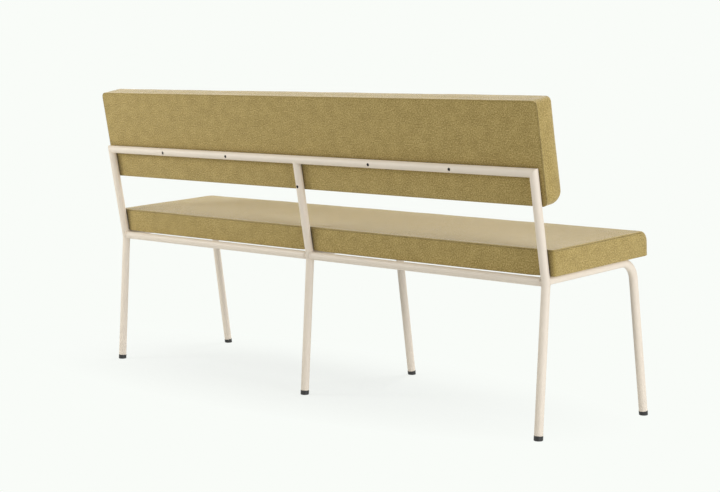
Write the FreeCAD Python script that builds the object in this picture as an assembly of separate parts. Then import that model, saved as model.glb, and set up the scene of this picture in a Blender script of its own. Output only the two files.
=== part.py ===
"""Upholstered bench with a backrest on a welded steel tube frame.

Frame of the part: +Z up, the floor is Z = 0, the front faces -Y and X runs along
the bench. Left is -X and right is +X, as seen from the front. The model is made
with Y = 0 on the axis of the rear seat rail, then moved along Y so that the origin
is the middle of the bench's footprint. Millimetres and degrees.
"""
import FreeCAD
import Part
import math
import os

Vec = FreeCAD.Vector
ORIGIN = Vec(0, 0, 0)
X_AXIS = Vec(1, 0, 0)
Y_AXIS = Vec(0, 1, 0)
Z_AXIS = Vec(0, 0, 1)

# Driving dimensions

# Tube frame
TUBE_OD = 22.0
TUBE_WALL = 2.0
WELD_GAP = 0.2               # root gap where a tube end is fitted to another tube
LEG_SET_SPACING = 814.0      # between neighbouring leg sets, centre to centre
REAR_RAIL_HEIGHT = 379.0     # floor to the axis of the rear seat rail
SIDE_RAIL_RISE = 3.0         # axis of the side rails above the rear rail's, at the posts
SEAT_SLOPE = 3.4             # side rails and seat rise towards the front
BACK_LEAN = 10.6             # posts and back lean towards the rear
TOP_RAIL_DISTANCE = 266.0    # rear rail to top rail, along the posts
POST_KINK_DROP = 5.0         # kink of a post below the rear rail's axis, along the post
POST_BEND_RADIUS = 60.0
REAR_FOOT_SETBACK = 21.0     # rear foot behind the rear rail, on the floor
FRONT_CORNER_INSET = 40.9    # corner of a front leg's axis behind the seat's front, along the seat
FRONT_LEG_SPLAY = 8.6
FRONT_BEND_RADIUS = 50.0

# Glides
GLIDE_LIP = 0.5              # collar beyond the tube's outside, on the radius
GLIDE_HEIGHT = 12.0          # visible collar, along the leg
GLIDE_EDGE = 2.0             # rounding at the floor
GLIDE_STEM_CLEARANCE = 2.0   # stem to the tube's bore, on the radius
GLIDE_STEM_LENGTH = 24.0
GLIDE_FIN_COUNT = 3
GLIDE_FIN_THICKNESS = 2.0
GLIDE_FIN_CLEARANCE = 0.1    # fins to the tube's bore, on the radius

# Screws and threaded inserts
SCREW_OD = 4.0
SCREW_HEAD_OD = 7.0
SCREW_HEAD_HEIGHT = 2.8
SCREW_SOCKET_ACROSS = 2.5    # hexagon socket, across flats
SCREW_SOCKET_DEPTH = 1.6
SCREW_PLAY = 0.25            # screw to its plain hole, on the radius
HEAD_PLAY = 0.75             # screw head to its access hole, on the radius
HEAD_SEAT_GAP = 0.05         # rim of the head to the inside of the tube
INSERT_OD = 7.0
INSERT_LENGTH = 10.0
INSERT_FIT = 0.05            # insert to its hole, and screw to its insert, on the radius

# Upholstery
COVER_THICKNESS = 2.0
PAD_EASE = 0.3               # between the cover and what it encloses
CONTACT_GAP = 0.2            # between the cushions and the tubes they bear on

# Seat
SEAT_DEPTH = 376.0
SEAT_THICKNESS = 64.0
SEAT_END_OVERHANG = 13.0     # beyond the outer face of the end side rails
SEAT_POST_CLEARANCE = 0.5    # between the cover's rear face and the posts
SEAT_EDGE = 12.0             # rounding of the top edges at the rear and ends and of the upright edges
SEAT_FRONT_EDGE = 28.0       # rounding of the top front edge
SEAT_BOARD = 15.0
DUST_COVER = 1.0
SEAT_SCREW_REAR = 55.0       # from the rear rail, along a side rail
SEAT_SCREW_FRONT = 34.0      # behind the start of a side rail's front bend

# Back
BACK_BOTTOM = 182.0          # lower edge of the cushion, from the rear rail along the posts
BACK_HEIGHT = 254.0
BACK_THICKNESS = 65.0
BACK_END_OVERHANG = 9.0      # beyond the outer face of the end posts
BACK_EDGE = 12.0             # rounding of the top front edge, the end edges and the corners
BACK_LOW_EDGE = 36.0         # rounding of the lower front edge
BACK_PANEL = 12.0
BACK_SCREW_INNER = 279.0     # from the middle of the top rail
BACK_SCREW_OUTER = 557.0
BACK_SCREW_LOW = 12.0        # screw in the middle post above the cushion's lower edge

# Values worked out from them

TUBE_R = TUBE_OD / 2
BORE_R = TUBE_R - TUBE_WALL
LEAN = math.radians(BACK_LEAN)
SLOPE = math.radians(SEAT_SLOPE)
SPLAY = math.radians(FRONT_LEG_SPLAY)
SIDE_RAIL_HEIGHT = REAR_RAIL_HEIGHT + SIDE_RAIL_RISE
LEG_SETS = {"left": -LEG_SET_SPACING, "middle": 0.0, "right": LEG_SET_SPACING}
# A head rests with its rim on the inside of the bore
HEAD_SEAT = math.sqrt(BORE_R ** 2 - (SCREW_HEAD_OD / 2) ** 2) - HEAD_SEAT_GAP
CUTTER = 6 * TUBE_OD         # reach of the tools that cut tube ends and holes
SMOOTH_ANGLE = math.radians(5)                      # faces that meet at less than this run on smoothly

SEAT_BOTTOM = TUBE_R + CONTACT_GAP                  # above the side rails' axes
SEAT_HALF = LEG_SET_SPACING + TUBE_R + SEAT_END_OVERHANG
# Front faces of the posts, in front of the rear rail's axis, level with the seat's lower rear edge
SEAT_EDGE_UP = SIDE_RAIL_RISE + SEAT_BOTTOM * math.cos(SLOPE)
POST_FRONT = TUBE_R / math.cos(LEAN) - SEAT_EDGE_UP * math.tan(LEAN)
# Rear face of the seat in its own axes, where its lower edge just clears the posts
SEAT_EDGE_REACH = POST_FRONT + SEAT_POST_CLEARANCE + SEAT_BOTTOM * math.sin(SLOPE)
SEAT_REAR = SEAT_EDGE_REACH / (math.cos(SLOPE) + math.sin(SLOPE) * math.tan(LEAN))
BOARD_BOTTOM = SEAT_BOTTOM + DUST_COVER
SEAT_SCREW_LENGTH = BOARD_BOTTOM + INSERT_LENGTH - HEAD_SEAT
# Side rail's axis from the rear rail to the corner of the front leg, and to the start of its bend
SIDE_RAIL_LENGTH = SEAT_REAR + SEAT_DEPTH - FRONT_CORNER_INSET
FRONT_TURN = math.pi / 2 - SPLAY + SLOPE
FRONT_BEND_START = SIDE_RAIL_LENGTH - FRONT_BEND_RADIUS * math.tan(FRONT_TURN / 2)

BACK_REAR = TUBE_R + CONTACT_GAP                    # in front of the posts' axes
BACK_HALF = LEG_SET_SPACING + TUBE_R + BACK_END_OVERHANG
PANEL_REAR = BACK_REAR + COVER_THICKNESS
BACK_SCREW_LENGTH = PANEL_REAR + INSERT_LENGTH - HEAD_SEAT


# Places and paths

def unit(vector):
    """Return the vector's direction."""
    return vector * (1.0 / vector.Length)


def place_back(shape):
    """Lean a shape made in the back's own axes: Z up the posts, Y = 0 on their axes."""
    shape.rotate(ORIGIN, X_AXIS, -BACK_LEAN)
    shape.translate(Vec(0, 0, REAR_RAIL_HEIGHT))
    return shape


def place_seat(shape):
    """Tilt a shape made in the seat's own axes: Z = 0 on the side rails' axes."""
    shape.rotate(ORIGIN, X_AXIS, -SEAT_SLOPE)
    shape.translate(Vec(0, 0, SIDE_RAIL_HEIGHT))
    return shape


def post_point(x, distance):
    """Return a point on a post's upper axis, at a distance from the rear rail."""
    return Vec(x, distance * math.sin(LEAN), REAR_RAIL_HEIGHT + distance * math.cos(LEAN))


def rear_foot(x):
    """Return where a rear leg's axis meets the floor."""
    return Vec(x, REAR_FOOT_SETBACK, 0)


def front_corner(x):
    """Return the point where a front leg's axis meets its side rail's axis."""
    reach = SIDE_RAIL_LENGTH * math.cos(SLOPE)
    return Vec(x, -reach, SIDE_RAIL_HEIGHT + SIDE_RAIL_LENGTH * math.sin(SLOPE))


def front_foot(x):
    """Return where a front leg's axis meets the floor."""
    corner = front_corner(x)
    return corner - front_leg_direction() * (corner.z / math.cos(SPLAY))


def rear_leg_direction():
    """Return the direction up a rear leg, from its foot to the kink."""
    return unit(post_point(0, -POST_KINK_DROP) - rear_foot(0))


def front_leg_direction():
    """Return the direction up a front leg."""
    return Vec(0, math.sin(SPLAY), math.cos(SPLAY))


def bent_wire(points, bend_radius):
    """Join points by straight runs with a tangent arc at each point between the ends."""
    edges = []
    start = points[0]
    for before, corner, after in zip(points, points[1:], points[2:]):
        into = unit(corner - before)
        out = unit(after - corner)
        half_turn = into.getAngle(out) / 2
        tangent = bend_radius * math.tan(half_turn)
        inset = bend_radius * (1 / math.cos(half_turn) - 1)
        arc_start = corner - into * tangent
        arc_end = corner + out * tangent
        arc_middle = corner + unit(out - into) * inset
        edges.append(Part.LineSegment(start, arc_start).toShape())
        edges.append(Part.Arc(arc_start, arc_middle, arc_end).toShape())
        start = arc_end
    edges.append(Part.LineSegment(start, points[-1]).toShape())
    return Part.Wire(edges)


def bar(points, bend_radius, radius):
    """Sweep a round bar of one radius along a bent path."""
    profile = Part.Wire(Part.makeCircle(radius, points[0], points[1] - points[0]))
    return bent_wire(points, bend_radius).makePipeShell([profile], True, True)


def post_path(x, top):
    """Return a post's axis from its glide through the kink to a distance up the back."""
    foot = rear_foot(x) + rear_leg_direction() * GLIDE_HEIGHT
    return [foot, post_point(x, -POST_KINK_DROP), post_point(x, top)]


def front_leg_path(x):
    """Return a front leg's axis from its glide round the bend to the rear post."""
    foot = front_foot(x) + front_leg_direction() * GLIDE_HEIGHT
    return [foot, front_corner(x), Vec(x, 0, SIDE_RAIL_HEIGHT)]


# Tube frame

def mitre_block(side, on_post):
    """Return the half space on one side of the mitre plane at a top corner."""
    block = Part.makeBox(CUTTER, CUTTER, CUTTER, Vec(0, -CUTTER / 2, -CUTTER / 2))
    block.rotate(ORIGIN, Y_AXIS, 90 - 45 * side + (0 if on_post else 180))
    block.translate(Vec(side * LEG_SET_SPACING, 0, TOP_RAIL_DISTANCE))
    return place_back(block)


def back_screw_places():
    """Return the back screws' places as (distance along X, distance up the back)."""
    across = (-BACK_SCREW_OUTER, -BACK_SCREW_INNER, BACK_SCREW_INNER, BACK_SCREW_OUTER)
    return [(x, TOP_RAIL_DISTANCE) for x in across]


def middle_screw_place():
    """Return the place of the screw in the middle post, in the same terms."""
    return (LEG_SETS["middle"], BACK_BOTTOM + BACK_SCREW_LOW)


def back_holes(places):
    """Return the access and plain holes of back screws, as one cutting tool."""
    tools = []
    for x, up in places:
        centre = Vec(x, 0, up)
        tools.append(Part.makeCylinder(SCREW_HEAD_OD / 2 + HEAD_PLAY, TUBE_OD, centre, Y_AXIS))
        tools.append(Part.makeCylinder(SCREW_OD / 2 + SCREW_PLAY, TUBE_OD, centre, -Y_AXIS))
    return place_back(Part.makeCompound(tools))


def seat_screw_places(x):
    """Return the seat screws' places on one side rail."""
    return [Vec(x, -reach, 0) for reach in (SEAT_SCREW_REAR, FRONT_BEND_START - SEAT_SCREW_FRONT)]


def seat_holes(x):
    """Return the access and plain holes of one side rail's seat screws."""
    tools = []
    for centre in seat_screw_places(x):
        tools.append(Part.makeCylinder(SCREW_HEAD_OD / 2 + HEAD_PLAY, TUBE_OD, centre, -Z_AXIS))
        tools.append(Part.makeCylinder(SCREW_OD / 2 + SCREW_PLAY, TUBE_OD, centre, Z_AXIS))
    return place_seat(Part.makeCompound(tools))


def post_envelope(x):
    """Return a post as a solid bar, larger by the weld gap, to fit other tubes to it."""
    return bar(post_path(x, TOP_RAIL_DISTANCE), POST_BEND_RADIUS, TUBE_R + WELD_GAP)


def side_rail_envelope(x):
    """Return a front leg and side rail as a solid bar, larger by the weld gap."""
    return bar(front_leg_path(x), FRONT_BEND_RADIUS, TUBE_R + WELD_GAP)


def end_post(side):
    """Make the post at one end: rear leg and upright, mitred at the top corner."""
    path = post_path(side * LEG_SET_SPACING, TOP_RAIL_DISTANCE + TUBE_OD)
    tube = bar(path, POST_BEND_RADIUS, TUBE_R).cut(bar(path, POST_BEND_RADIUS, BORE_R))
    return tube.cut(mitre_block(side, on_post=False))


def middle_post():
    """Make the middle post, fitted to the underside of the top rail."""
    path = post_path(0, TOP_RAIL_DISTANCE)
    tube = bar(path, POST_BEND_RADIUS, TUBE_R).cut(bar(path, POST_BEND_RADIUS, BORE_R))
    rail = Part.makeCylinder(TUBE_R + WELD_GAP, CUTTER, Vec(-CUTTER / 2, 0, TOP_RAIL_DISTANCE), X_AXIS)
    return tube.cut(place_back(rail)).cut(back_holes([middle_screw_place()]))


def top_rail():
    """Make the top rail, mitred at both ends, with its screw holes."""
    length = 2 * (LEG_SET_SPACING + TUBE_OD)
    start = Vec(-length / 2, 0, TOP_RAIL_DISTANCE)
    tube = Part.makeCylinder(TUBE_R, length, start, X_AXIS)
    tube = place_back(tube.cut(Part.makeCylinder(BORE_R, length, start, X_AXIS)))
    for side in (-1, 1):
        tube = tube.cut(mitre_block(side, on_post=True))
    return tube.cut(back_holes(back_screw_places()))


def front_leg(x):
    """Make a front leg and its side rail, fitted to the front of the post."""
    path = front_leg_path(x)
    tube = bar(path, FRONT_BEND_RADIUS, TUBE_R).cut(bar(path, FRONT_BEND_RADIUS, BORE_R))
    return tube.cut(post_envelope(x)).cut(seat_holes(x))


def rear_rail(first, last):
    """Make one span of the rear rail, fitted between two posts and their side rails."""
    start = Vec(first, 0, REAR_RAIL_HEIGHT)
    tube = Part.makeCylinder(TUBE_R, last - first, start, X_AXIS)
    tube = tube.cut(Part.makeCylinder(BORE_R, last - first, start, X_AXIS))
    for x in (first, last):
        tube = tube.cut(post_envelope(x)).cut(side_rail_envelope(x))
    return tube


# Glides

def glide(foot, direction):
    """Make a plug-in glide: a collar under the tube, cut flat at the floor, and a finned stem."""
    start = foot - direction * GLIDE_HEIGHT
    collar = Part.makeCylinder(TUBE_R + GLIDE_LIP, 2 * GLIDE_HEIGHT, start, direction)
    floor = Part.makeBox(CUTTER, CUTTER, CUTTER, foot - Vec(CUTTER / 2, CUTTER / 2, CUTTER))
    collar = collar.cut(floor)
    floor_edges = [edge for edge in collar.Edges if edge.BoundBox.ZMax < GLIDE_EDGE / 2]
    collar = collar.makeFillet(GLIDE_EDGE, floor_edges)
    top = foot + direction * GLIDE_HEIGHT
    stem = Part.makeCylinder(BORE_R - GLIDE_STEM_CLEARANCE, GLIDE_STEM_LENGTH, top, direction)
    body = collar.fuse(stem)
    pitch = GLIDE_STEM_LENGTH / (GLIDE_FIN_COUNT + 0.5)
    for number in range(GLIDE_FIN_COUNT):
        base = top + direction * (pitch * (number + 0.5))
        fin = Part.makeCylinder(BORE_R - GLIDE_FIN_CLEARANCE, GLIDE_FIN_THICKNESS, base, direction)
        body = body.fuse(fin)
    return body.removeSplitter()


# Screws and inserts

def screw(length):
    """Make a socket screw along Z: the head's underside is at Z = 0, the shank points up."""
    head = Part.makeCylinder(SCREW_HEAD_OD / 2, SCREW_HEAD_HEIGHT, Vec(0, 0, -SCREW_HEAD_HEIGHT))
    head = head.fuse(Part.makeCylinder(SCREW_OD / 2, length))
    corner = SCREW_SOCKET_ACROSS / math.sqrt(3)
    angles = [math.radians(60 * number) for number in range(7)]
    outline = [Vec(corner * math.cos(a), corner * math.sin(a), -SCREW_HEAD_HEIGHT) for a in angles]
    socket = Part.Face(Part.makePolygon(outline)).extrude(Vec(0, 0, SCREW_SOCKET_DEPTH))
    return head.cut(socket).removeSplitter()


def insert():
    """Make a threaded insert along Z, from Z = 0 upwards."""
    outside = Part.makeCylinder(INSERT_OD / 2, INSERT_LENGTH)
    return outside.cut(Part.makeCylinder(SCREW_OD / 2 + INSERT_FIT, INSERT_LENGTH))


def turn_forward(shape):
    """Turn a shape made along +Z so that it points forwards, along -Y."""
    shape.rotate(ORIGIN, X_AXIS, 90)
    return shape


# Seat

def is_sharp(block, edge):
    """Tell whether the two faces of a block beside an edge meet at an angle."""
    middle = edge.valueAt((edge.FirstParameter + edge.LastParameter) / 2)
    faces = block.ancestorsOfType(edge, Part.Face)
    first, second = [face.normalAt(*face.Surface.parameter(middle)) for face in faces]
    return first.getAngle(second) > SMOOTH_ANGLE


def round_edges(block, radius, flat_axis):
    """Round all of a block's sharp edges but those around its flat face.

    flat_axis names the bound of the flat face: "ZMin" or "YMax".
    """
    limit = getattr(block.BoundBox, flat_axis)
    low_bound = flat_axis.replace("Max", "Min")
    high_bound = flat_axis.replace("Min", "Max")
    edges = []
    for edge in block.Edges:
        spans = (getattr(edge.BoundBox, low_bound), getattr(edge.BoundBox, high_bound))
        if max(abs(span - limit) for span in spans) > radius / 10 and is_sharp(block, edge):
            edges.append(edge)
    return block.makeFillet(radius, edges)


def seat_block(inset, bottom, top):
    """Make a block of the seat with rounded edges, its top front edge rounded most."""
    width = 2 * (SEAT_HALF - inset)
    depth = SEAT_DEPTH - 2 * inset
    corner = Vec(-width / 2, -SEAT_REAR - SEAT_DEPTH + inset, bottom)
    block = Part.makeBox(width, depth, top - bottom, corner)
    top_front = min(block.Edges, key=lambda edge: edge.BoundBox.YMax - edge.BoundBox.ZMin)
    return round_edges(block.makeFillet(SEAT_FRONT_EDGE - inset, [top_front]), SEAT_EDGE - inset, "ZMin")


def seat_plate(inset, bottom, thickness):
    """Make a flat plate of the seat with rounded corners."""
    width = 2 * (SEAT_HALF - inset)
    depth = SEAT_DEPTH - 2 * inset
    corner = Vec(-width / 2, -SEAT_REAR - SEAT_DEPTH + inset, bottom)
    plate = Part.makeBox(width, depth, thickness, corner)
    upright = [edge for edge in plate.Edges if edge.BoundBox.ZLength > thickness / 2]
    return plate.makeFillet(SEAT_EDGE - inset, upright)


def drill_seat(plate, radius, bottom, depth):
    """Drill a plate of the seat above every seat screw."""
    for x in LEG_SETS.values():
        for place in seat_screw_places(x):
            plate = plate.cut(Part.makeCylinder(radius, depth, place + Vec(0, 0, bottom)))
    return plate


def seat_pieces():
    """Make the seat's pieces by name."""
    top = SEAT_BOTTOM + SEAT_THICKNESS
    inner = COVER_THICKNESS + PAD_EASE
    cover = seat_block(0, SEAT_BOTTOM, top)
    hollow = seat_block(COVER_THICKNESS, SEAT_BOTTOM, top - COVER_THICKNESS)
    foam = seat_block(inner, BOARD_BOTTOM + SEAT_BOARD, top - inner)
    board = seat_plate(inner, BOARD_BOTTOM, SEAT_BOARD)
    dust_cover = seat_plate(inner, SEAT_BOTTOM, DUST_COVER)
    pieces = {
        "seat_cover": cover.cut(hollow),
        "seat_foam": foam,
        "seat_board": drill_seat(board, INSERT_OD / 2 + INSERT_FIT, BOARD_BOTTOM, SEAT_BOARD),
        "seat_dust_cover": drill_seat(dust_cover, SCREW_OD / 2 + SCREW_PLAY, SEAT_BOTTOM, DUST_COVER),
    }
    screws = []
    inserts = []
    for x in LEG_SETS.values():
        for place in seat_screw_places(x):
            screws.append(screw(SEAT_SCREW_LENGTH).translated(place + Vec(0, 0, HEAD_SEAT)))
            inserts.append(insert().translated(place + Vec(0, 0, BOARD_BOTTOM)))
    pieces["seat_screws"] = Part.makeCompound(screws)
    pieces["seat_inserts"] = Part.makeCompound(inserts)
    return {name: place_seat(shape) for name, shape in pieces.items()}


# Back

def back_box(inset, rear, front):
    """Make a plain block of the back, set in from the cover's outer edges."""
    width = 2 * (BACK_HALF - inset)
    height = BACK_HEIGHT - 2 * inset
    return Part.makeBox(width, front - rear, height, Vec(-width / 2, -front, BACK_BOTTOM + inset))


def back_block(inset, rear, front):
    """Make a block of the back with rounded edges, its lower front edge rounded most."""
    block = back_box(inset, rear, front)
    low_front = min(block.Edges, key=lambda edge: edge.BoundBox.YMax + edge.BoundBox.ZMax)
    return round_edges(block.makeFillet(BACK_LOW_EDGE - inset, [low_front]), BACK_EDGE - inset, "YMax")


def back_plate(inset, rear, thickness):
    """Make a flat plate of the back with rounded corners."""
    plate = back_box(inset, rear, rear + thickness)
    through = [edge for edge in plate.Edges if edge.BoundBox.YLength > thickness / 2]
    return plate.makeFillet(BACK_EDGE - inset, through)


def drill_back(plate, radius, rear, depth):
    """Drill a plate of the back in front of every back screw."""
    for x, up in back_screw_places() + [middle_screw_place()]:
        plate = plate.cut(Part.makeCylinder(radius, depth, Vec(x, -rear, up), -Y_AXIS))
    return plate


def back_pieces():
    """Make the back's pieces by name."""
    front = BACK_REAR + BACK_THICKNESS
    inner = COVER_THICKNESS + PAD_EASE
    cover = back_block(0, BACK_REAR, front)
    hollow = back_block(COVER_THICKNESS, BACK_REAR, front - COVER_THICKNESS)
    rear_panel = back_plate(inner, BACK_REAR, COVER_THICKNESS)
    panel = back_plate(inner, PANEL_REAR, BACK_PANEL)
    pieces = {
        "back_cover": cover.cut(hollow),
        "back_foam": back_block(inner, PANEL_REAR + BACK_PANEL, front - inner),
        "back_panel": drill_back(panel, INSERT_OD / 2 + INSERT_FIT, PANEL_REAR, BACK_PANEL),
        "back_rear_cover": drill_back(rear_panel, SCREW_OD / 2 + SCREW_PLAY, BACK_REAR, COVER_THICKNESS),
    }
    screws = []
    inserts = []
    for x, up in back_screw_places() + [middle_screw_place()]:
        screws.append(turn_forward(screw(BACK_SCREW_LENGTH)).translated(Vec(x, -HEAD_SEAT, up)))
        inserts.append(turn_forward(insert()).translated(Vec(x, -PANEL_REAR, up)))
    pieces["back_screws"] = Part.makeCompound(screws)
    pieces["back_inserts"] = Part.makeCompound(inserts)
    return {name: place_back(shape) for name, shape in pieces.items()}


# Assembly

def frame_pieces():
    """Make the welded tubes by name."""
    pieces = {
        "left_rear_post": end_post(-1),
        "middle_rear_post": middle_post(),
        "right_rear_post": end_post(1),
        "top_rail": top_rail(),
        "left_rear_rail": rear_rail(LEG_SETS["left"], LEG_SETS["middle"]),
        "right_rear_rail": rear_rail(LEG_SETS["middle"], LEG_SETS["right"]),
    }
    for name, x in LEG_SETS.items():
        pieces[name + "_front_leg"] = front_leg(x)
    return pieces


def glide_pieces():
    """Make the six glides by name."""
    pieces = {}
    for name, x in LEG_SETS.items():
        pieces[name + "_front_glide"] = glide(front_foot(x), front_leg_direction())
        pieces[name + "_rear_glide"] = glide(rear_foot(x), rear_leg_direction())
    return pieces


def main():
    """Build every piece, centre the bench over the origin and write one file per piece."""
    pieces = {}
    for group in (frame_pieces(), glide_pieces(), seat_pieces(), back_pieces()):
        pieces.update(group)
    whole = Part.makeCompound(list(pieces.values())).optimalBoundingBox(False, False)
    to_middle = Vec(0, -(whole.YMin + whole.YMax) / 2, 0)
    os.makedirs("parts", exist_ok=True)
    for name, shape in pieces.items():
        shape.translated(to_middle).exportStep("parts/" + name + ".step")
    print("pieces", len(pieces), "moved along Y", round(to_middle.y, 4))
    print("size", round(whole.XLength, 2), round(whole.YLength, 2), round(whole.ZLength, 2))


main()
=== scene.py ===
"""Looks of an upholstered bench with a backrest, made around its CAD frame.

Every length is in metres, in the frame of the CAD part: +Z up, the floor is Z = 0,
the front of the bench faces -Y and X runs along it. The file is laid out as an
add-on: properties hold what a user would change, one operator makes each piece.
"""
import math
from dataclasses import dataclass

import bpy
import numpy as np
from bpy.props import FloatProperty, FloatVectorProperty, PointerProperty
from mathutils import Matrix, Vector


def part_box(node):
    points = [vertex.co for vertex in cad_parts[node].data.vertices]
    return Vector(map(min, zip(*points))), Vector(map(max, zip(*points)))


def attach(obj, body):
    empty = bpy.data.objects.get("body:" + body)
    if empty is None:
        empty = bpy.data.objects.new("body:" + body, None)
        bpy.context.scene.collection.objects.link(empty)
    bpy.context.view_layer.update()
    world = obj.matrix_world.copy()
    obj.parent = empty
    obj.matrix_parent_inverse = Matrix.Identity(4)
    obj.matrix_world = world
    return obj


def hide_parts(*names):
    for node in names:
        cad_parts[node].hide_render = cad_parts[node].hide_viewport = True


bl_info = {
    "name": "Upholstered Bench",
    "version": (1, 0, 0),
    "blender": (4, 5, 0),
    "location": "View3D > Sidebar > Bench",
    "description": "Cushions, seams, welds and finishes of a tube frame bench",
    "category": "Object",
}

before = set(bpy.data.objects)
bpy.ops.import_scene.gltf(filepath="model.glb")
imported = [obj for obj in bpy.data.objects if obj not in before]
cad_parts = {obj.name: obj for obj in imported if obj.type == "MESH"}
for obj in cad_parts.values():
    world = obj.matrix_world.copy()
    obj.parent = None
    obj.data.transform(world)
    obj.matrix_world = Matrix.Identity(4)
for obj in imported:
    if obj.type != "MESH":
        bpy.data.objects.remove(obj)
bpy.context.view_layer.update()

MM = 0.001
SAME_PLACE = 1e-6            # lattice points closer than this to a face lie on it
LEG_SETS = ("left", "middle", "right")
TUBES = [name + "_rear_post" for name in LEG_SETS]
TUBES += [name + "_front_leg" for name in LEG_SETS]
TUBES += ["left_rear_rail", "right_rear_rail", "top_rail"]
GLIDES = [name + "_front_glide" for name in LEG_SETS] + [name + "_rear_glide" for name in LEG_SETS]


# Places taken from the frame

def vertex_array(vectors, key):
    """Read one vector for each vertex of a mesh as an array."""
    values = np.empty(len(vectors) * 3, np.float32)
    vectors.foreach_get(key, values)
    return values.reshape(-1, 3)


class TiltedAxes:
    """Axes turned about X by an angle, with their origin on the rear rail's axis.

    Local Y and Z are world Y and Z turned so that local Z leans towards the rear.
    """

    def __init__(self, degrees, origin):
        """Keep the turn as its sine and cosine."""
        self.sine = math.sin(math.radians(degrees))
        self.cosine = math.cos(math.radians(degrees))
        self.origin = np.array(origin)
        self.up = np.array((0.0, self.sine, self.cosine))
        self.rear = np.array((0.0, self.cosine, -self.sine))

    def to_world(self, local):
        """Turn local points into world points."""
        x, y, z = np.moveaxis(np.asarray(local, float), -1, 0)
        turned = (x, y * self.cosine + z * self.sine, z * self.cosine - y * self.sine)
        return np.stack(turned, axis=-1) + self.origin

    def to_local(self, world):
        """Turn world points into local points."""
        x, y, z = np.moveaxis(np.asarray(world, float) - self.origin, -1, 0)
        return np.stack((x, y * self.cosine - z * self.sine, z * self.cosine + y * self.sine), axis=-1)

    def box(self, node):
        """Return a CAD node's lowest and highest local corner."""
        points = self.to_local(vertex_array(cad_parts[node].data.vertices, "co"))
        return points.min(axis=0), points.max(axis=0)


def middle_x(node):
    """Return the middle of a CAD node along the bench."""
    low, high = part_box(node)
    return (low.x + high.x) / 2


SEAT_SLOPE = 3.4
BACK_LEAN = 10.6
RAIL_LOW, RAIL_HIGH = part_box("left_rear_rail")
TUBE_RADIUS = (RAIL_HIGH.z - RAIL_LOW.z) / 2
RAIL_AXIS = (0.0, (RAIL_LOW.y + RAIL_HIGH.y) / 2, (RAIL_LOW.z + RAIL_HIGH.z) / 2)
LEG_X = [middle_x(name + "_rear_post") for name in LEG_SETS]
SEAT_AXES = TiltedAxes(SEAT_SLOPE, RAIL_AXIS)
BACK_AXES = TiltedAxes(BACK_LEAN, RAIL_AXIS)
ALONG = np.array((1.0, 0.0, 0.0))
TOP_RAIL = BACK_AXES.box("top_rail")[1][2] - TUBE_RADIUS           # its axis, up the back
SIDE_RAIL = SEAT_AXES.box("left_front_leg")[1][2] - TUBE_RADIUS    # the side rails' axes, under the seat


def tube_stretch(axes, middle, way, half):
    """Describe a straight stretch of a tube, in the words of the node groups that take one."""
    return {"Point": axes.to_world(middle), "Way": way, "Half": half}


# What a user would change

def length(name, description, default):
    """Return a length property with a millimetre default."""
    return FloatProperty(name=name, description=description, default=default * MM, unit="LENGTH", precision=5)


def colour(name, description, default):
    """Return a linear colour property."""
    return FloatVectorProperty(
        name=name, description=description, default=default, subtype="COLOR", size=3, min=0, max=1)


class BenchSizes(bpy.types.PropertyGroup):
    """Sizes of the upholstery and of the welds."""

    seat_front_edge: length("Seat front edge", "Rounding of the seat's top front edge", 28)
    seat_sewn_edge: length("Seat sewn edge", "Rounding of the seat's top edge at the rear and ends", 3)
    seat_low_edge: length("Seat low edge", "Rounding of the seat's lower edges", 2)
    seat_front_corner: length("Seat front corner", "Rounding of the seat's upright front corners", 15.5)
    seat_rear_corner: length("Seat rear corner", "Rounding of the seat's upright rear corners", 5)
    seat_rear_swell: length("Seat rear swell", "Swell of the seat's rear face at its foot", 5)
    seat_rear_lean: length("Seat rear lean", "Further swell of the rear face at its top", 2.5)
    seat_droop: length("Seat droop", "Roll of the seat's lower edge between the rails", 2.0)
    seat_seam_drop: length("Seat seam drop", "Seam below the seat's top edge", 3.2)
    back_low_edge: length("Back low edge", "Rounding of the back's lower front edge", 36)
    back_end_edge: length("Back end edge", "Rounding of the back's front edges at its ends", 14)
    back_top_edge: length("Back top edge", "Rounding of the back's upper front edge", 6)
    back_rear_edge: length("Back rear edge", "Rounding of the back's rear edges", 1.2)
    back_corner: length("Back corner", "Rounding of the back's four corners", 14)
    back_seam_set: length("Back seam set", "Seam in from the edge of the back's rear panel", 1.5)
    seam_depth: length("Seam depth", "Depth of the groove at a seam", 1.2)
    weld_leg: length("Weld leg", "Width of a weld on each tube", 2.6)


class BenchColours(bpy.types.PropertyGroup):
    """Colours of the finishes."""

    cloth: colour("Cloth", "Olive of the upholstery cloth", (0.435, 0.318, 0.098))
    cloth_light: colour("Cloth light", "Light fibres of the cloth", (0.60, 0.45, 0.175))
    cloth_dark: colour("Cloth dark", "Dark fibres of the cloth", (0.27, 0.19, 0.052))
    paint: colour("Paint", "Cream powder coat of the tubes", (0.80, 0.705, 0.575))
    plastic: colour("Plastic", "Black plastic of the glides", (0.018, 0.017, 0.016))
    scuffs: colour("Scuffs", "Worn plastic close to the floor", (0.11, 0.105, 0.1))
    plywood: colour("Plywood", "Birch plywood", (0.62, 0.45, 0.28))
    foam: colour("Foam", "Cut foam", (0.78, 0.73, 0.55))
    dust_cloth: colour("Dust cloth", "Cloth under the seat", (0.03, 0.03, 0.032))
    bare_steel: colour("Bare steel", "Unpainted steel inside the tubes", (0.022, 0.02, 0.018))
    black_steel: colour("Black steel", "Black oxide on the screws", (0.02, 0.02, 0.021))
    zinc: colour("Zinc", "Zinc on inserts and staples", (0.62, 0.62, 0.6))


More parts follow.
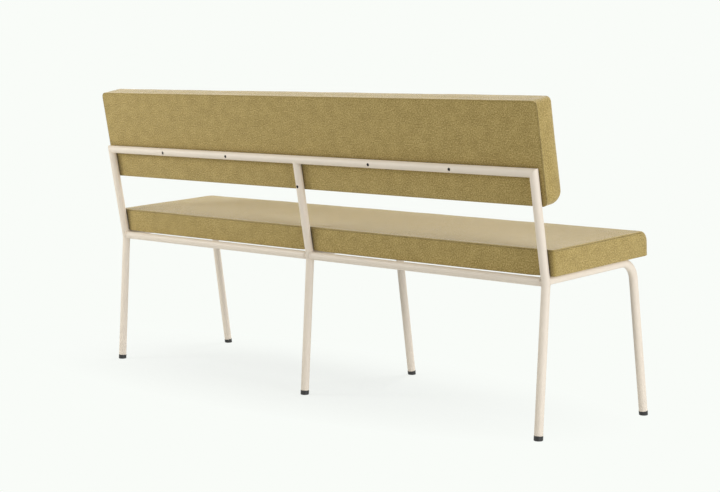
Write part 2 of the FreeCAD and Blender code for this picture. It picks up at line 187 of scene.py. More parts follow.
class BenchStage(bpy.types.PropertyGroup):
    """Camera and light of the picture."""

    camera_place: FloatVectorProperty(
        name="Camera place", description="Where the camera stands", size=3, subtype="TRANSLATION",
        default=(-3.3266, 3.3129, 0.8898))
    camera_yaw: FloatProperty(
        name="Camera yaw", description="Turn of the view from the bench's front towards +X",
        default=math.radians(44.96), unit="ROTATION")
    camera_pitch: FloatProperty(
        name="Camera pitch", description="Tilt of the view below the horizon",
        default=math.radians(6.056), unit="ROTATION")
    lens: FloatProperty(name="Lens", description="Focal length in mm on a 36 mm wide sensor", default=84.93)
    pale: colour("Pale", "Colour of the empty floor and background", (0.947, 0.974, 0.939))


# Shader trees

class Tree:
    """Adds nodes to one shader tree; an input is given as a socket to link or as a value."""

    def __init__(self, tree):
        """Start with an empty tree."""
        self.tree = tree
        tree.nodes.clear()

    def fill(self, node, inputs):
        """Link or set a node's inputs by name or number."""
        for name, value in inputs.items():
            if isinstance(value, bpy.types.NodeSocket):
                self.tree.links.new(value, node.inputs[name])
            else:
                node.inputs[name].default_value = value

    def add(self, kind, inputs=None, **settings):
        """Add a node, make its settings and fill its inputs."""
        node = self.tree.nodes.new("ShaderNode" + kind)
        for name, value in settings.items():
            setattr(node, name, value)
        self.fill(node, inputs or {})
        return node

    def math(self, operation, *inputs):
        """Add a Math node and return its result."""
        return self.add("Math", dict(enumerate(inputs)), operation=operation).outputs[0]

    def vector(self, operation, *inputs, output="Vector"):
        """Add a Vector Math node and return its vector, or its value where that is named."""
        return self.add("VectorMath", dict(enumerate(inputs)), operation=operation).outputs[output]

    def mix(self, factor, first, second, blend="MIX"):
        """Mix two colours and return the result."""
        node = self.add("Mix", {0: factor, 6: first, 7: second}, data_type="RGBA", blend_type=blend)
        return node.outputs[2]

    def spread(self, value, low, high):
        """Map the range low to high of a value onto 0 to 1."""
        return self.add("MapRange", {"Value": value, "From Min": low, "From Max": high}).outputs["Result"]

    def noise(self, vector, scale, detail=2.0, roughness=0.5):
        """Add a noise texture of so many waves to the metre and return its value."""
        inputs = {"Vector": vector, "Scale": scale, "Detail": detail, "Roughness": roughness}
        return self.add("TexNoise", inputs).outputs[0]

    def bump(self, height, distance, strength):
        """Return a normal roughened by a height."""
        return self.add("Bump", {"Height": height, "Distance": distance, "Strength": strength}).outputs[0]

    def group(self, tree, inputs):
        """Place a node group and return its output."""
        return self.add("Group", inputs, node_tree=tree).outputs[0]

    def object_place(self):
        """Return the object coordinates."""
        return self.add("TexCoord").outputs["Object"]

    def panel_place(self):
        """Return the place on the cloth panel's own flat map."""
        return self.add("UVMap", uv_map="Panel").outputs[0]


def rgba(rgb, share=1.0):
    """Return a colour with full alpha, its channels times a share."""
    return (*(min(1.0, channel * share) for channel in rgb), 1.0)


def new_group(name, vectors, values, output):
    """Start a shader node group with vector and value inputs and one value to put out."""
    tree = bpy.data.node_groups.new(name, "ShaderNodeTree")
    for socket in vectors:
        tree.interface.new_socket(socket, in_out="INPUT", socket_type="NodeSocketVector")
    for socket in values:
        tree.interface.new_socket(socket, in_out="INPUT", socket_type="NodeSocketFloat")
    tree.interface.new_socket(output, in_out="OUTPUT", socket_type="NodeSocketFloat")
    shader = Tree(tree)
    return shader, tree.nodes.new("NodeGroupInput").outputs, tree.nodes.new("NodeGroupOutput")


UPPER_THREAD = 0.35          # powers of the weave's two threads at a crossing
LOWER_THREAD = 1.25


def weave_group():
    """Make a plain weave of threads and return its node group.

    The height is |sin x| to one power times |sin y| to another, where x and y count
    threads; the powers change places from crossing to crossing, so that warp and
    weft lie on top in turn.
    """
    if "Weave" in bpy.data.node_groups:
        return bpy.data.node_groups["Weave"]
    shader, entry, leave = new_group("Weave", ["Vector"], ["Pitch"], "Height")
    split = shader.add("SeparateXYZ", {0: entry["Vector"]}).outputs
    turns = shader.math("DIVIDE", math.pi, entry["Pitch"])
    across = shader.math("SINE", shader.math("MULTIPLY", split["X"], turns))
    along = shader.math("SINE", shader.math("MULTIPLY", split["Y"], turns))
    on_top = shader.math("GREATER_THAN", shader.math("MULTIPLY", across, along), 0.0)
    first = shader.math("MULTIPLY_ADD", on_top, LOWER_THREAD - UPPER_THREAD, UPPER_THREAD)
    second = shader.math("SUBTRACT", LOWER_THREAD + UPPER_THREAD, first)
    wide = shader.math("POWER", shader.math("ABSOLUTE", across), first)
    tall = shader.math("POWER", shader.math("ABSOLUTE", along), second)
    shader.fill(leave, {"Height": shader.math("MULTIPLY", wide, tall)})
    return shader.tree


MOTTLE_LAYERS = ("Fine", "Middle", "Broad")


def mottle_group():
    """Make uneven tone from fine, middle and broad noise and return its node group.

    Tone is 0.5 on average: the three noises less their middle, each times its own
    strength, are added to it.
    """
    if "Mottle" in bpy.data.node_groups:
        return bpy.data.node_groups["Mottle"]
    values = [layer + ending for layer in MOTTLE_LAYERS for ending in (" Scale", "")]
    shader, entry, leave = new_group("Mottle", ["Vector"], values, "Tone")
    tone = 0.5
    for layer in MOTTLE_LAYERS:
        noise = shader.noise(entry["Vector"], entry[layer + " Scale"])
        centred = shader.math("SUBTRACT", noise, 0.5)
        tone = shader.math("ADD", tone, shader.math("MULTIPLY", centred, entry[layer]))
    shader.fill(leave, {"Tone": tone})
    return shader.tree


def mottled(shader, place, *layers):
    """Return uneven tone; fine, middle and broad noise are each given as a scale and a strength."""
    inputs = {"Vector": place}
    for name, (scale, strength) in zip(MOTTLE_LAYERS, layers):
        inputs[name + " Scale"] = scale
        inputs[name] = strength
    return shader.group(mottle_group(), inputs)


def from_axis(shader, entry):
    """Return how far a place lies aside from an axis, and how far along it from its point.

    The offset from the point is split into its part along the axis and the rest.
    """
    apart = shader.vector("SUBTRACT", entry["Vector"], entry["Point"])
    along = shader.vector("PROJECT", apart, entry["Way"])
    aside = shader.vector("DISTANCE", apart, along, output="Value")
    return aside, shader.vector("LENGTH", along, output="Value")


def bore_group():
    """Mask what lies inside a straight stretch of tube and return its node group.

    Inside is 1 where a place is nearer to the axis than the radius and, along the
    axis, nearer to its middle than half the stretch.
    """
    if "Bore" in bpy.data.node_groups:
        return bpy.data.node_groups["Bore"]
    shader, entry, leave = new_group("Bore", ["Vector", "Point", "Way"], ["Half", "Radius"], "Inside")
    aside, away = from_axis(shader, entry)
    within = shader.math("LESS_THAN", aside, entry["Radius"])
    beside = shader.math("LESS_THAN", away, entry["Half"])
    shader.fill(leave, {"Inside": shader.math("MULTIPLY", within, beside)})
    return shader.tree


def tube_shade_group():
    """Paint shade on what lies close to a straight stretch of tube and return its node group.

    The tube's axis goes half its length either way from its middle point. The gap is
    the distance from that line less the radius, and at least nothing. Shade is exp of
    minus the gap in reaches.
    """
    if "TubeShade" in bpy.data.node_groups:
        return bpy.data.node_groups["TubeShade"]
    values = ["Half", "Radius", "Reach"]
    shader, entry, leave = new_group("TubeShade", ["Vector", "Point", "Way"], values, "Shade")
    aside, away = from_axis(shader, entry)
    past = shader.math("MAXIMUM", shader.math("SUBTRACT", away, entry["Half"]), 0.0)
    both = shader.add("CombineXYZ", {0: aside, 1: past}).outputs[0]
    beyond = shader.math("MAXIMUM", shader.vector("LENGTH", both, output="Value"), entry["Radius"])
    fall = shader.math("DIVIDE", shader.math("SUBTRACT", entry["Radius"], beyond), entry["Reach"])
    shader.fill(leave, {"Shade": shader.math("EXPONENT", fall)})
    return shader.tree


def new_material(name):
    """Start a material: return it, its tree and its principled shader."""
    material = bpy.data.materials.new(name)
    material.use_nodes = True
    shader = Tree(material.node_tree)
    surface = shader.add("BsdfPrincipled")
    shader.add("OutputMaterial", {"Surface": surface.outputs[0]})
    return material, shader, surface


# Finishes

THREAD_PITCH = 1.5 * MM      # warp and weft of the upholstery cloth
DOT_PITCH = 1.2 * MM         # pressed dots of the dust cloth
PLY_PAIR = 3 * MM            # a light and a dark ply
SCUFF_HEIGHT = 4 * MM        # how far up from the floor the glides are worn
COAT_DEPTH = 0.4 * MM        # how far the powder coat reaches into a hole in a tube
SEAM_SHADE = 0.35            # painted shade: how much darker the cloth is coloured in a seam's groove
PAINTED_TUBE_SHADE = 0.9           # and how much darker it is coloured close beside a tube, as painted shade
SEAT_SHADE_REACH = 5.5 * MM       # reach of the painted shade beside the posts, where they press into the seat
BACK_SHADE_REACH = 2.5 * MM       # and of the painted shade where the back bears on the frame


def painted_tube_shade(shader):
    """Return the painted shade on the cloth beside the posts and the top rail, darkest where it meets them.
    """
    place = shader.object_place()
    stretches = [(0, BACK_AXES.box("seat_cover")[1][2], SEAT_SHADE_REACH),
                 (BACK_AXES.box("back_cover")[0][2], TOP_RAIL, BACK_SHADE_REACH)]
    tubes = [(tube_stretch(BACK_AXES, (0, 0, TOP_RAIL), ALONG, max(LEG_X)), BACK_SHADE_REACH)]
    for x in LEG_X:
        for low, high, reach in stretches:
            middle = (x, 0, (low + high) / 2)
            tubes.append((tube_stretch(BACK_AXES, middle, BACK_AXES.up, (high - low) / 2), reach))
    shade = 0.0
    for tube, reach in tubes:
        inputs = {"Vector": place, "Radius": TUBE_RADIUS, "Reach": reach, **tube}
        shade = shader.math("MAXIMUM", shade, shader.group(tube_shade_group(), inputs))
    return shader.math("MULTIPLY", shade, PAINTED_TUBE_SHADE)


def cloth_material(colours):
    """Felted wool: a weave under fibres, in three tones of olive, on the panels' own flat maps, darkened by
    painted shade between the threads, in the seams and beside the tubes.
    """
    if "olive_cloth" in bpy.data.materials:
        return bpy.data.materials["olive_cloth"]
    material, shader, surface = new_material("olive_cloth")
    place = shader.panel_place()
    weave = shader.group(weave_group(), {"Vector": place, "Pitch": THREAD_PITCH})
    tone = mottled(shader, place, (800.0, 1.2), (290.0, 2.1), (32.0, 0.45))
    darker = shader.mix(shader.spread(tone, 0.1, 0.5), rgba(colours.cloth_dark), rgba(colours.cloth))
    lighter = shader.mix(shader.spread(tone, 0.5, 0.95), darker, rgba(colours.cloth_light))
    # painted shade in the seams' grooves and close beside the tubes
    seam = shader.add("Attribute", attribute_name="seam").outputs["Fac"]
    painted_shade = shader.math("MAXIMUM", shader.math("MULTIPLY", seam, SEAM_SHADE), painted_tube_shade(shader))
    # painted shade between the threads: the weave's low places are coloured darker than its crossings
    threads = shader.math("MULTIPLY_ADD", weave, 0.22, 0.86)
    after_painted_shade = shader.math("MAXIMUM", shader.math("SUBTRACT", threads, painted_shade), 0.0)
    shade = shader.add("CombineColor", {0: after_painted_shade, 1: after_painted_shade, 2: after_painted_shade}).outputs[0]
    shader.fill(surface, {
        "Base Color": shader.mix(1.0, lighter, shade, "MULTIPLY"),
        "Roughness": 0.95,
        "Sheen Weight": 0.6,
        "Sheen Roughness": 0.4,
        "Sheen Tint": (1.0, 0.96, 0.88, 1.0),
        "Specular IOR Level": 0.2,
        "Normal": shader.bump(shader.math("ADD", weave, tone), 0.35 * MM, 0.6),
    })
    return material


def paint_material(colours, name="cream_powder_coat", bore=None):
    """Powder coat: cream, faintly uneven, with a fine orange-peel surface.

    Where a bore is given, as a stretch of the tube, it is bare steel.
    """
    material, shader, surface = new_material(name)
    place = shader.object_place()
    tone = mottled(shader, place, (700.0, 0.5), (90.0, 0.35), (6.0, 0.3))
    coat = shader.mix(tone, rgba(colours.paint, 0.95), rgba(colours.paint, 1.05))
    if bore is not None:
        inside = shader.group(bore_group(), {"Vector": place, "Radius": TUBE_RADIUS - COAT_DEPTH, **bore})
        coat = shader.mix(inside, coat, rgba(colours.bare_steel))
    shader.fill(surface, {
        "Base Color": coat,
        "Roughness": shader.math("MULTIPLY_ADD", tone, 0.16, 0.40),
        "Specular IOR Level": 0.42,
        "Normal": shader.bump(shader.noise(place, 620.0, 1.0), 0.12 * MM, 0.35),
    })
    return material


def plastic_material(colours):
    """Moulded black plastic, scuffed grey close to the floor."""
    material, shader, surface = new_material("black_plastic")
    place = shader.object_place()
    scuff = shader.noise(place, 420.0, 3.0)
    low = shader.spread(shader.add("SeparateXYZ", {0: place}).outputs["Z"], SCUFF_HEIGHT, 0.0)
    worn = shader.math("MULTIPLY", low, shader.spread(scuff, 0.45, 0.75))
    shader.fill(surface, {
        "Base Color": shader.mix(worn, rgba(colours.plastic), rgba(colours.scuffs)),
        "Roughness": shader.math("MULTIPLY_ADD", scuff, 0.3, 0.32),
        "Normal": shader.bump(scuff, 0.08 * MM, 0.4),
    })
    return material


def plywood_material(name, colours, axes, through):
    """Birch plywood: grain stretched along X and thin darker plies through its thickness."""
    material, shader, surface = new_material(name)
    turn = (math.asin(axes.sine), 0.0, 0.0)
    turned = shader.add("Mapping", {"Vector": shader.object_place(), "Rotation": turn}).outputs[0]
    drawn_out = shader.add("Mapping", {"Vector": turned, "Scale": (2.0, 60.0, 60.0)}).outputs[0]
    grain = shader.noise(drawn_out, 3.0, 4.0, 0.6)
    depth = shader.add("SeparateXYZ", {0: turned}).outputs[through]
    plies = shader.math("SINE", shader.math("MULTIPLY", depth, 2 * math.pi / PLY_PAIR))
    tone = shader.spread(shader.math("ADD", grain, shader.math("MULTIPLY", plies, 0.08)), 0.3, 0.75)
    shader.fill(surface, {
        "Base Color": shader.mix(tone, rgba(colours.plywood, 0.7), rgba(colours.plywood)),
        "Roughness": 0.7,
        "Normal": shader.bump(grain, 0.2 * MM, 0.4),
    })
    return material


def foam_material(colours):
    """Cut foam: pale yellow with open pores, coloured darker inside as painted shade."""
    material, shader, surface = new_material("cut_foam")
    pores = shader.add("TexVoronoi", {"Vector": shader.object_place(), "Scale": 650.0}).outputs["Distance"]
    # painted shade: darker towards the middle of each pore
    tone = shader.spread(pores, 0.05, 0.45)
    shader.fill(surface, {
        "Base Color": shader.mix(tone, rgba(colours.foam, 0.6), rgba(colours.foam)),
        "Roughness": 0.9,
        "Normal": shader.bump(pores, 0.5 * MM, 0.6),
    })
    return material


def dust_cloth_material(colours):
    """Spunbonded black cloth with a pressed grid of dots."""
    material, shader, surface = new_material("black_dust_cloth")
    place = shader.panel_place()
    dots = shader.group(weave_group(), {"Vector": place, "Pitch": DOT_PITCH})
    tone = mottled(shader, place, (500.0, 0.8), (60.0, 0.6), (8.0, 0.4))
    shader.fill(surface, {
        "Base Color": shader.mix(tone, rgba(colours.dust_cloth), rgba(colours.dust_cloth, 1.9)),
        "Roughness": 0.85,
        "Normal": shader.bump(dots, 0.15 * MM, 0.5),
    })
    return material


def steel_material(name, rgb, roughness):
    """Small steel hardware with fine turning marks and a little unevenness."""
    material, shader, surface = new_material(name)
    marks = shader.noise(shader.object_place(), 1500.0)
    shader.fill(surface, {
        "Base Color": shader.mix(marks, rgba(rgb), rgba(rgb, 1.25)),
        "Metallic": 1.0,
        "Roughness": shader.math("MULTIPLY_ADD", marks, 0.25, roughness),
        "Normal": shader.bump(marks, 0.03 * MM, 0.5),
    })
    return material


def set_material(names, material):
    """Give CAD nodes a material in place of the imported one."""
    for name in names:
        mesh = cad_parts[name].data
        mesh.materials.clear()
        mesh.materials.append(material)


# Meshes from arrays

def add_object(name, data):
    """Put a mesh, lamp or camera into the scene as an object."""
    added = bpy.data.objects.new(name, data)
    bpy.context.scene.collection.objects.link(added)
    return added


def new_piece(name, points, quads, material, chart=None):
    """Make a smooth mesh piece from arrays of points and quads; it rides on the frame."""
    mesh = bpy.data.meshes.new(name)
    mesh.from_pydata(points.tolist(), [], quads.tolist())
    if chart is not None:
        layer = mesh.uv_layers.new(name="Panel")
        layer.uv.foreach_set("vector", chart.astype(np.float32).ravel())
    mesh.shade_smooth()
    mesh.materials.append(material)
    piece = add_object(name, mesh)
    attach(piece, "root")
    return piece


def quads_between(number):
    """Return the quads between neighbours in a grid of point numbers."""
    corners = (number[:-1, :-1], number[1:, :-1], number[1:, 1:], number[:-1, 1:])
    return np.stack(corners, axis=-1).reshape(-1, 4)


def ring_quads(rows, columns):
    """Return the quads of a grid of points, numbered row by row and closed both ways."""
    number = np.arange(rows * columns).reshape(rows, columns)
    return quads_between(np.pad(number, ((0, 1), (0, 1)), mode="wrap"))


def outward(points, quads):
    """Turn the quads of a closed surface so that it holds a positive volume."""
    first, second, third, fourth = np.moveaxis(points[quads], 1, 0)
    volume = np.einsum("ij,ij", first, np.cross(second, third) + np.cross(third, fourth))
    return quads if volume > 0 else quads[:, ::-1]


def gather(shapes):
    """Join closed shapes, each given as points and quads, into one pair of arrays."""
    points = []
    quads = []
    count = 0
    for shape, faces in shapes:
        points.append(shape)
        quads.append(outward(shape, faces) + count)
        count += len(shape)
    return np.concatenate(points), np.concatenate(quads)


GRADING_STEPS = 8000


def graded(low, high, places, fine, coarse, reach):
    """Spread points from low to high, close together near the given places.

    The spacing grows with the square of the distance from the nearest place, from
    fine at the place to coarse at the reach.
    """
    line = np.linspace(low, high, GRADING_STEPS + 1)
    nearest = np.abs(line[:, None] - np.asarray(places)).min(axis=1)
    spacing = fine + (coarse - fine) * np.clip(nearest / reach, 0, 1) ** 2
    steps = np.concatenate([[0], np.cumsum(np.diff(line) * 2 / (spacing[1:] + spacing[:-1]))])
    return np.interp(np.linspace(0, steps[-1], math.ceil(steps[-1]) + 1), steps, line)


def box_lattice(u, v, w, unrolled=None):
    """Cover a box with quads: the outer points of a lattice of u, v and w positions.

    Returns the points, the quads with their normals outwards and, for each corner of
    each quad, its place on the flat panel that it belongs to. Where unrolled is given,
    it turns levels w into lengths of cloth up the side named by its axis and end.
    """
    shape = (len(u), len(v), len(w))
    outside = np.ones(shape, bool)
    outside[1:-1, 1:-1, 1:-1] = False
    number = np.full(shape, -1)
    number[outside] = np.arange(outside.sum())
    points = np.stack(np.meshgrid(u, v, w, indexing="ij"), axis=-1)[outside]
    quads = []
    charts = []
    for axis in range(3):
        others = [other for other in range(3) if other != axis]
        for end in (0, -1):
            panel = quads_between(number.take(end, axis=axis))
            faces_out = (end == -1) != (axis == 1)
            quads.append(panel if faces_out else panel[:, ::-1])
            charts.append(points[quads[-1]][:, :, others])
            if unrolled is not None and axis < 2:
                charts[-1][:, :, 1] = unrolled(charts[-1][:, :, 1], axis, end)
    return points, np.concatenate(quads), np.concatenate(charts).reshape(-1, 2)


# Cushions

@dataclass
class Block:
    """A padded block: length along u, width along v and thickness along w.

    w = 0 is the face on the board, and the crowned face lies opposite. The sides
    stand back in a quarter circle at both faces, each side with its own radius.
    """

    half: float
    low: float
    high: float
    thickness: float
    base_edge: float
    low_edge: float
    high_edge: float
    end_edge: float
    low_corner: float
    high_corner: float

    def lattice(self, grading, u_places=(), w_places=()):
        """Cover the flat block with quads, close together at its edges and the given places."""
        u = graded(-self.half, self.half, [-self.half, *u_places, self.half], *grading[0])
        v = graded(self.low, self.high, [self.low, self.high], *grading[1])
        w = graded(0, self.thickness, [0, *w_places, self.thickness], *grading[2])
        return box_lattice(u, v, w, self.unrolled)

    def from_side(self, flat):
        """Return how far lattice points of the flat box lie from its nearest side."""
        u, v, w = flat.T
        return np.minimum(np.minimum(v - self.low, self.high - v), self.half - np.abs(u))

    def unrolled(self, w, axis, end):
        """Length of cloth up a side to the level w: r asin(t / r) takes the place of a rise t."""
        crown_edge = self.end_edge if axis == 0 else (self.low_edge, self.high_edge)[end]
        top = np.clip(w - (self.thickness - crown_edge), 0, crown_edge)
        return w - top + crown_edge * np.arcsin(top / crown_edge)

    def inset(self, w, crown_edge):
        """How far a side stands back at w: r less the root of r squared less depth squared."""
        base = np.clip(self.base_edge - w, 0, self.base_edge)
        top = np.clip(w - (self.thickness - crown_edge), 0, crown_edge)
        at_base = self.base_edge - np.sqrt(self.base_edge ** 2 - base ** 2)
        return at_base + crown_edge - np.sqrt(crown_edge ** 2 - top ** 2)

    def shape(self, flat):
        """Turn lattice points of the flat box into points of the padded block.

        Each level w is the rectangle scaled to its insets. Where a point lies in the
        square at a corner, the square is drawn in to a quarter disc: its offset from
        the square's inner corner is scaled by its larger part over its length.
        """
        u0, v0, w0 = flat.T
        half = self.half - self.inset(w0, self.end_edge)
        low = self.low + self.inset(w0, self.low_edge)
        high = self.high - self.inset(w0, self.high_edge)
        u = u0 / self.half * half
        v = low + (v0 - self.low) / (self.high - self.low) * (high - low)
        upper = v0 > (self.low + self.high) / 2
        corner = np.where(upper, self.high_corner, self.low_corner)
        du = np.abs(u) - (half - corner)
        dv = np.where(upper, v - (high - corner), low + corner - v)
        inside = (du > 0) & (dv > 0)
        reach = np.where(inside, np.hypot(du, dv), 1.0)
        drawn = np.where(inside, np.maximum(du, dv) / reach, 1.0) - 1
        u = u + np.where(inside, np.sign(u) * du * drawn, 0)
        v = v + np.where(inside, np.where(upper, dv, -dv) * drawn, 0)
        return np.stack((u, v, w0), axis=-1)


CLOTH_SETTINGS = {
    "quality": 4,
    "tension_stiffness": 40,
    "compression_stiffness": 40,
    "shear_stiffness": 20,
    "bending_stiffness": 1,
    "use_pressure": True,
    "uniform_pressure_force": 0.1,
    "vertex_group_mass": "Held",
}
PUFF_FRAMES = 20
PUFF_RISE = 6 * MM           # most that the cloth may stand out
PUFF_SINK = 0.5 * MM         # most that it may draw in, so that it stays clear of the foam


def hold(distance, reach):
    """How firmly cloth is held: 1 up to a fifth of the reach, then falling to 0 a reach further on."""
    return np.clip(1.2 - distance / reach, 0, 1)


def puff(piece, held):
    """Swell a piece as cloth under inner pressure and keep the result.

    held gives each vertex's hold, from 0 for free to 1 for fixed. The way a vertex
    moves is cut to the most that it may stand out or draw in along its normal.
    """
    group = piece.vertex_groups.new(name="Held")
    levels = np.round(held, 1)
    for level in np.unique(levels):
        group.add(np.flatnonzero(levels == level).tolist(), float(level), "REPLACE")
    cloth = piece.modifiers.new("Swell", "CLOTH")
    cloth.collision_settings.use_collision = False
    for name, value in CLOTH_SETTINGS.items():
        setattr(cloth.settings, name, value)
    cloth.settings.effector_weights.gravity = 0
    scene = bpy.context.scene
    for step in range(1, PUFF_FRAMES + 1):
        scene.frame_set(step)
    before = vertex_array(piece.data.vertices, "co")
    normals = vertex_array(piece.data.vertex_normals, "vector")
    swollen = piece.evaluated_get(bpy.context.evaluated_depsgraph_get())
    moved = vertex_array(swollen.data.vertices, "co") - before
    piece.modifiers.remove(cloth)
    piece.vertex_groups.clear()
    scene.frame_set(1)
    rise = np.einsum("ij,ij->i", moved, normals)
    moved += (np.clip(rise, -PUFF_SINK, PUFF_RISE) - rise)[:, None] * normals
    piece.data.vertices.foreach_set("co", (before + moved).ravel())
    piece.data.update()


STILL_LAYER = 20 * MM        # cloth this close to the board lies without waves


def unevenness(flat, height):
    """Slow waves over a cushion: a sum of sines of different lengths and directions."""
    u, v, w = flat.T
    waves = np.sin(9.1 * u + 14 * v + 1.3) + np.sin(-17.7 * u + 23 * v + 0.4)
    waves += np.sin(31 * u + 9 * v + 40 * w)
    return height / 3 * waves * (w > STILL_LAYER)


def sew(piece, flat, waves, depth, grooves, lines=0.0):
    """Lay waves over a cushion and sink its grooves; tell the cloth's shader where to paint shade along its
    seams.

    Each vertex moves along its normal, by its wave less the groove's depth there.
    """
    points = vertex_array(piece.data.vertices, "co")
    normals = vertex_array(piece.data.vertex_normals, "vector")
    amount = unevenness(flat, waves) - depth * grooves
    moved = points + normals * amount[:, None].astype(np.float32)
    piece.data.vertices.foreach_set("co", moved.ravel())
    # the seam attribute is painted shade: the cloth is coloured darker in the grooves and along the given
    # lines
    layer = piece.data.attributes.new("seam", "FLOAT", "POINT")
    layer.data.foreach_set("value", np.maximum(grooves, lines).astype(np.float32))
    piece.data.update()


def near_seam(distance, width):
    """Closeness to a seam, 1 on it: exp of minus the squared distance in widths."""
    return np.exp(-(distance / width) ** 2)


def smooth_least(first, second, blend):
    """The lesser of two values, rounded where they meet over the blend."""
    share = np.clip(0.5 + 0.5 * (second - first) / blend, 0, 1)
    return second + (first - second) * share - blend * share * (1 - share)


POST_CLEARANCE = 0.4 * MM    # cloth to the posts that press into it
DENT_CONTACT = 0.95          # share of a post's radius that the cloth follows
DENT_LIP = 4 * MM            # rounding of the cloth beside a dent
DENT_DEPTH_REACH = 22 * MM   # how far in front of the rear face a dent dies out


def post_dents(points, rear):
    """Press the posts into the seat's rear face, which lies at rear for each point.

    In the seat's axes a post's axis is y = z tan(lean - slope). The cloth follows the
    tube's circle as far as the contact share, then leaves it along the tangent; the
    free face is cut back to that line, and the change dies out towards the front.
    """
    lean = math.radians(BACK_LEAN - SEAT_SLOPE)
    contact = DENT_CONTACT * TUBE_RADIUS
    rise = DENT_CONTACT / math.sqrt(1 - DENT_CONTACT ** 2)
    x, y, z = points.T
    change = np.zeros(len(points))
    for post in LEG_X:
        aside = np.abs(x - post)
        on_tube = np.minimum(aside, contact)
        front = z * math.tan(lean) - np.sqrt(TUBE_RADIUS ** 2 - on_tube ** 2) / math.cos(lean)
        limit = front + rise * np.maximum(aside - contact, 0) - POST_CLEARANCE
        pressed = smooth_least(rear, limit, DENT_LIP)
        change = np.minimum(change, pressed - rear)
    moved = points.copy()
    moved[:, 1] = y + change * np.exp(-(rear - y) / DENT_DEPTH_REACH)
    return moved


def from_side_rail(x):
    """Return each point's distance from the nearest side rail's axis."""
    return np.abs(x[:, None] - np.array(LEG_X)).min(axis=1)


ROLL_WIDTH = 26 * MM         # how far in from the seat's sides its lower edge rolls
ROLL_HEIGHT = 20 * MM        # how far up its sides the roll dies out
RAIL_WIDTH = 30 * MM         # how far from a side rail the roll begins


def base_roll(flat, block, height):
    """Let the cloth roll below the board at the seat's sides, except over the side rails.

    The roll is its height times one less exp of minus the squared distance from the
    nearest side rail, and dies out with the distance from the nearest side.
    """
    free = 1 - np.exp(-(from_side_rail(flat[:, 0]) / RAIL_WIDTH) ** 2)
    near_side = np.exp(-(block.from_side(flat) / ROLL_WIDTH) ** 2)
    return -height * free * near_side * np.clip(1 - flat[:, 2] / ROLL_HEIGHT, 0, 1)


# Fine spacing, coarse spacing and reach of a cushion's lattice along u, v and w
SEAT_GRADING = ((2.2 * MM, 11 * MM, 45 * MM), (1.6 * MM, 11 * MM, 40 * MM), (0.35 * MM, 5 * MM, 14 * MM))
BACK_GRADING = ((0.7 * MM, 11 * MM, 60 * MM), (0.7 * MM, 10 * MM, 50 * MM), (0.2 * MM, 5 * MM, 20 * MM))

SEAT_LIFT = 0.4 * MM         # cloth above the lower face of the CAD cover
SEAT_BASE_HOLD = 18 * MM     # how far up from the board the swelling cloth is held
SEAT_REAR_HOLD = 14 * MM     # and how far in from the rear face
SEAT_SEAM = 1.1 * MM         # width of the seat's seam
SEAT_WAVES = 0.5 * MM


class BENCH_OT_seat_cushion(bpy.types.Operator):
    """Make the boxed seat cushion, dented by the three posts behind it"""

    bl_idname = "bench.seat_cushion"
    bl_label = "Seat Cushion"

    def execute(self, context):
        """Shape, swell and seam the seat."""
        sizes = context.scene.bench_sizes
        low, high = SEAT_AXES.box("seat_cover")
        base = low[2] + SEAT_LIFT
        block = Block(
            half=high[0], low=low[1], high=high[1] + sizes.seat_rear_swell, thickness=high[2] - base,
            base_edge=sizes.seat_low_edge, low_edge=sizes.seat_front_edge, high_edge=sizes.seat_sewn_edge,
            end_edge=sizes.seat_sewn_edge, low_corner=sizes.seat_front_corner,
            high_corner=sizes.seat_rear_corner)
        seam = block.thickness - sizes.seat_seam_drop
        flat, quads, chart = block.lattice(SEAT_GRADING, LEG_X, [seam])
        u, v, w = flat.T
        points = self.shape(sizes, block, flat, base)
        piece = new_piece("seat_cushion", SEAT_AXES.to_world(points), quads,
                          cloth_material(context.scene.bench_colours), chart)
        puff(piece, np.maximum(hold(w, SEAT_BASE_HOLD), hold(block.high - v, SEAT_REAR_HOLD)))
        on_side = w < block.thickness - SAME_PLACE
        sewn = np.clip((v - block.low) / sizes.seat_front_edge, 0, 1)
        groove = np.where(on_side, sewn * near_seam(w - seam, SEAT_SEAM), 0)
        sew(piece, flat, SEAT_WAVES, sizes.seam_depth, groove)
        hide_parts("seat_cover")
        return {"FINISHED"}

    def shape(self, sizes, block, flat, base):
        """Lean the rear face out, roll the lower edge and press the posts in."""
        points = block.shape(flat)
        lean = sizes.seat_rear_lean * flat[:, 2] / block.thickness
        points[:, 1] += lean * np.exp(-(block.high - flat[:, 1]) / DENT_DEPTH_REACH)
        points[:, 2] += base + base_roll(flat, block, sizes.seat_droop)
        return post_dents(points, block.high + lean)


BACK_SET = 0.5 * MM          # cloth behind the front of the CAD cover
BACK_HOLD = 16 * MM          # how far from the panel the swelling cloth is held
BACK_SEAM = 0.9 * MM         # width of the seam around the rear panel
BACK_SEAM_SHARE = 0.5        # its depth, as a share of the seat's
BACK_END_SEAM = 1.2 * MM     # width of the line of painted shade along the seam at the back's ends, which has no groove
BACK_END_SHADE = 1.5          # its strength, as painted shade
BACK_WAVES = 0.6 * MM


